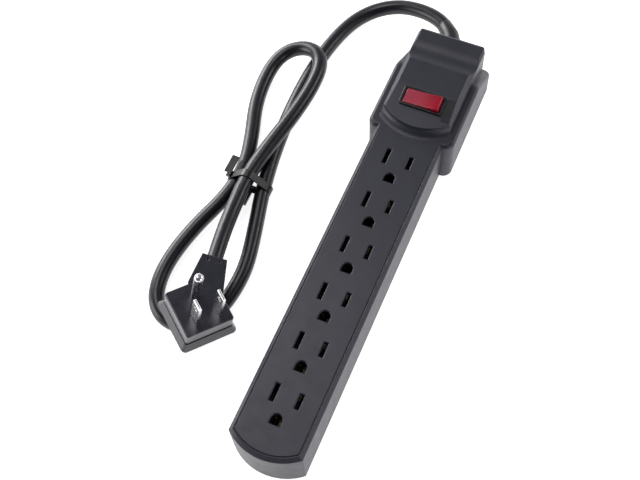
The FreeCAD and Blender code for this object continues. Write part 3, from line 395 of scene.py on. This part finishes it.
def floor_material():
    """Plain pale studio table, lit a little from below, with a barely visible unevenness."""
    material, tree, shader, place = new_material("studio_floor")
    patches = in_range(tree, noise(tree, place, size=0.3), 0.0, 1.0)
    looks = {
        "Base Color": mixed(tree, patches, (0.86, 0.86, 0.87), (0.89, 0.89, 0.9)),
        "Roughness": in_range(tree, noise(tree, place, size=0.05), 0.75, 0.85),
        "Emission Color": (1, 1, 1, 1),
        "Emission Strength": TABLE_GLOW,
    }
    fill(tree, shader, looks)
    return material


def dark_finishes():
    """The black and near-black plastics and rubbers."""
    low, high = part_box("plug_pin_carrier")
    plug_middle = [(first + last) / 2 for first, last in zip(low, high)]
    fine = {"grain": 0.0003, "depth": 0.000004}
    vinyl = {"grain": 0.0003, "depth": 0.000006, "edge": 0.0004, "lined": True, "gloss": 0.95}
    bezel = {"grain": 0.0003, "depth": 0.000005, "edge": 0.0002}
    return {
        "case_plastic": moulded("case_plastic", CASE_COLOUR, 0.42, grain=0.0004, edge=0.0005, lined=True),
        "base_plastic": moulded("base_plastic", (0.018, 0.018, 0.027), 0.45, lined=True),
        "switch_plastic": moulded("switch_plastic", (0.003, 0.003, 0.004), 0.25, **bezel),
        "grip_rubber": moulded("grip_rubber", (0.008, 0.008, 0.01), 0.38, grain=0.0004),
        "tie_plastic": moulded("tie_plastic", (0.004, 0.004, 0.005), 0.32, grain=0.0008),
        "plug_vinyl": moulded("plug_vinyl", PLUG_COLOUR, 0.24, **vinyl),
        "plug_face": moulded("plug_face", PLUG_COLOUR, 0.22, rings=plug_middle, **fine),
        "dark_plate": moulded("dark_plate", (0.006, 0.006, 0.01), 0.32, edge=0.0002, **fine),
    }


def make_finishes():
    """One finish for each of the record's material slots, and two more: the plug's face and the plate."""
    return dark_finishes() | {
        "screw_steel": metal("screw_steel", (0.56, 0.56, 0.57), 0.3),
        # Brass, darkened past its own colour as painted shade deep inside the slots
        "contact_brass": metal("contact_brass", (0.26, 0.19, 0.1), 0.45),
        "black_wire": jacket("black_wire", (0.02, 0.02, 0.02), 0.4),
        "white_wire": jacket("white_wire", (0.78, 0.78, 0.76), 0.4),
        "green_wire": jacket("green_wire", (0.05, 0.33, 0.12), 0.4),
        "board_laminate": moulded("board_laminate", (0.32, 0.2, 0.09), 0.5, wear=1.2),
        "varistor_coating": moulded("varistor_coating", (0.05, 0.15, 0.42), 0.3, depth=0.00003),
        "fuse_metal": metal("fuse_metal", (0.66, 0.66, 0.66), 0.35),
        "rocker_lens": lens_red("rocker_lens"),
        "plunger_nylon": moulded("plunger_nylon", (0.82, 0.81, 0.77), 0.5, wear=1.05),
        "lamp_glass": lamp_glass("lamp_glass"),
        "cord_jacket": jacket("cord_jacket", (0.004, 0.004, 0.009), 0.33),
        "pin_nickel": metal("pin_nickel", (0.82, 0.82, 0.84), 0.2),
    }


# ---------------------------------------------------------------- objects


def dress(piece, material):
    """Give a piece one material in place of any that it has."""
    piece.data.materials.clear()
    piece.data.materials.append(material)


def dress_cad(finishes):
    """Each CAD node takes the finish of its record slot, and the plug's face its own."""
    for subpart in frame["record"]["subparts"]:
        dress(frame["nodes"][subpart["node"]], finishes[subpart["material_slot"]])
    dress(frame["nodes"]["plug_pin_carrier"], finishes["plug_face"])


def attach(piece, body, material):
    """Let a piece ride on a body, in its own material."""
    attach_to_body(piece, body)
    dress(piece, material)


def link_object(name, data):
    """An object in the scene, made from its data."""
    made = bpy.data.objects.new(name, data)
    bpy.context.collection.objects.link(made)
    return made


def mesh_object(name, build):
    """An object made from finished mesh work."""
    mesh = bpy.data.meshes.new(name)
    build.to_mesh(mesh)
    build.free()
    return link_object(name, mesh)


def soften(piece, width):
    """Round a piece's sharp edges."""
    rounding = piece.modifiers.new("soft_edges", "BEVEL")
    rounding.width = width
    rounding.segments = 2
    rounding.limit_method = "ANGLE"
    rounding.angle_limit = math.radians(30)


# ---------------------------------------------------------------- camera, floor and lights


def make_camera():
    """The camera at the photograph's viewing angle."""
    data = bpy.data.cameras.new("camera")
    data.lens = CAMERA_LENS
    data.sensor_width = 36
    data.clip_start = 0.01
    camera = link_object("camera", data)
    camera.location = CAMERA_AT
    camera.rotation_euler = [math.radians(angle) for angle in CAMERA_TURN]
    bpy.context.scene.camera = camera


def make_floor():
    """The table, a hair below the object's lowest face."""
    build = bmesh.new()
    bmesh.ops.create_grid(build, x_segments=8, y_segments=8, size=FLOOR_HALF)
    floor = mesh_object("studio_floor", build)
    floor.location.z = -FLOOR_GAP
    dress(floor, floor_material())


def softbox(name, at, side, radiance):
    """A square area light aimed at the origin, with the same brightness whatever its size."""
    data = bpy.data.lights.new(name, "AREA")
    data.size = side
    data.energy = radiance * math.pi * side**2
    light = link_object(name, data)
    light.location = at
    light.rotation_euler = (-Vector(at)).to_track_quat("-Z", "Y").to_euler()


def make_room():
    """The room's own light: palest low down, and towards the far end of the object."""
    world = bpy.data.worlds.new("studio")
    world.use_nodes = True
    tree = world.node_tree
    direction = tree.nodes.new("ShaderNodeTexCoord").outputs["Generated"]
    parts = add_node(tree, "ShaderNodeSeparateXYZ", Vector=direction)
    low_down = in_range(tree, parts.outputs["Z"], low=1.0, high=0.2, start=0.1, end=0.8)
    far_side = in_range(tree, parts.outputs["Y"], low=0.3, high=1.0, start=-0.5, end=0.5)
    light = {"Color": ROOM_COLOUR, "Strength": product(tree, low_down, far_side)}
    fill(tree, tree.nodes["Background"], light)
    bpy.context.scene.world = world


def make_studio():
    """Floor, softboxes above and all round, and the room."""
    make_floor()
    for name, at, side, radiance in SOFTBOXES:
        softbox(name, at, side, radiance)
    make_room()
    bpy.context.scene.view_settings.view_transform = "Standard"


# ---------------------------------------------------------------- cord


def route_curve(name):
    """A smooth curve on the cord's control points, which hold its radius, with no thickness yet."""
    data = bpy.data.curves.new(name, "CURVE")
    data.dimensions = "3D"
    data.resolution_u = 16
    spline = data.splines.new("NURBS")
    spline.points.add(len(CORD_ROUTE) - 1)
    for point, place in zip(spline.points, CORD_ROUTE):
        point.co = (*place, 1)
        point.radius = CORD_RADIUS
    spline.order_u = 3
    spline.use_endpoint_u = True
    return bpy.data.objects.new(name, data)


def centre_line():
    """Points along the middle of the cord, read from its route's own spline."""
    route = route_curve("cord_route")
    mesh = bpy.data.meshes.new_from_object(route)
    points = [vertex.co.copy() for vertex in mesh.vertices]
    bpy.data.curves.remove(route.data)
    bpy.data.meshes.remove(mesh)
    return points


def place_along(line, distance):
    """The point that far along a line, and the line's direction there."""
    for start, end in zip(line, line[1:]):
        step = (end - start).length
        if distance <= step:
            return start.lerp(end, distance / step), (end - start).normalized()
        distance -= step
    return line[-1], (line[-1] - line[-2]).normalized()


def ring_points(centre, along, radius):
    """Points of a ring round a centre, square to a direction."""
    side = along.cross(Vector((0, 0, 1))).normalized()
    above = side.cross(along)
    turns = [math.tau * step / GRIP_SIDES for step in range(GRIP_SIDES)]
    return [centre + radius * (side * math.cos(turn) + above * math.sin(turn)) for turn in turns]


def tube_mesh(rings):
    """A closed solid through rings of points, with flat ends."""
    build = bmesh.new()
    rings = [[build.verts.new(point) for point in ring] for ring in rings]
    for ring, following in zip(rings, rings[1:]):
        for step in range(GRIP_SIDES):
            after = (step + 1) % GRIP_SIDES
            build.faces.new((ring[step], ring[after], following[after], following[step]))
    build.faces.new(reversed(rings[0]))
    build.faces.new(rings[-1])
    bmesh.ops.recalc_face_normals(build, faces=build.faces)
    return build


def make_grip(line, finishes):
    """Tapered rubber grip where the cord leaves the head, threaded on the cord's own line."""
    places = [(*place_along(line, GRIP_START + distance), radius) for distance, radius in GRIP_RINGS]
    grip = mesh_object("cord_grip", tube_mesh([ring_points(*place) for place in places]))
    for face in grip.data.polygons:
        face.use_smooth = True
    soften(grip, GRIP_EDGE)
    attach(grip, "strip", finishes["grip_rubber"])
    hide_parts("strain_relief")
    return grip


def make_cord(finishes):
    """The cord and its grip, in place of the CAD's cord. Its thickness is the radius of the route's points.
    """
    grip = make_grip(centre_line(), finishes)
    cord = route_curve("cord_curve")
    cord.data.bevel_depth = 1.0
    cord.data.bevel_resolution = 8
    cord.data.use_fill_caps = True
    bpy.context.collection.objects.link(cord)
    attach(cord, "strip", finishes["cord_jacket"])
    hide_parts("cord")


# ---------------------------------------------------------------- plate beside the switch


def make_plate(finishes):
    """Thin dark plate with rounded corners, lying on the sloping panel."""
    slope = (PANEL_HIGH[1] - PANEL_LOW[1]) / (PANEL_HIGH[0] - PANEL_LOW[0])
    height = PANEL_LOW[1] + (PLATE_AT[1] - PANEL_LOW[0]) * slope
    build = bmesh.new()
    block = Matrix.Diagonal((*PLATE_SIZE, 2 * PLATE_THICKNESS, 1))
    bmesh.ops.create_cube(build, size=1.0, matrix=block)
    rises = [(edge, abs(edge.verts[0].co.z - edge.verts[1].co.z)) for edge in build.edges]
    upright = [edge for edge, rise in rises if rise > PLATE_THICKNESS]
    bmesh.ops.bevel(build, geom=upright, offset=PLATE_CORNER, segments=2, affect="EDGES")
    build.transform(Matrix.Translation((*PLATE_AT, height)) @ Matrix.Rotation(math.atan(slope), 4, "X"))
    plate = mesh_object("side_plate", build)
    soften(plate, PLATE_EDGE)
    attach(plate, "strip", finishes["dark_plate"])


make_camera()
finishes = make_finishes()
dress_cad(finishes)
make_cord(finishes)
make_plate(finishes)
make_studio()
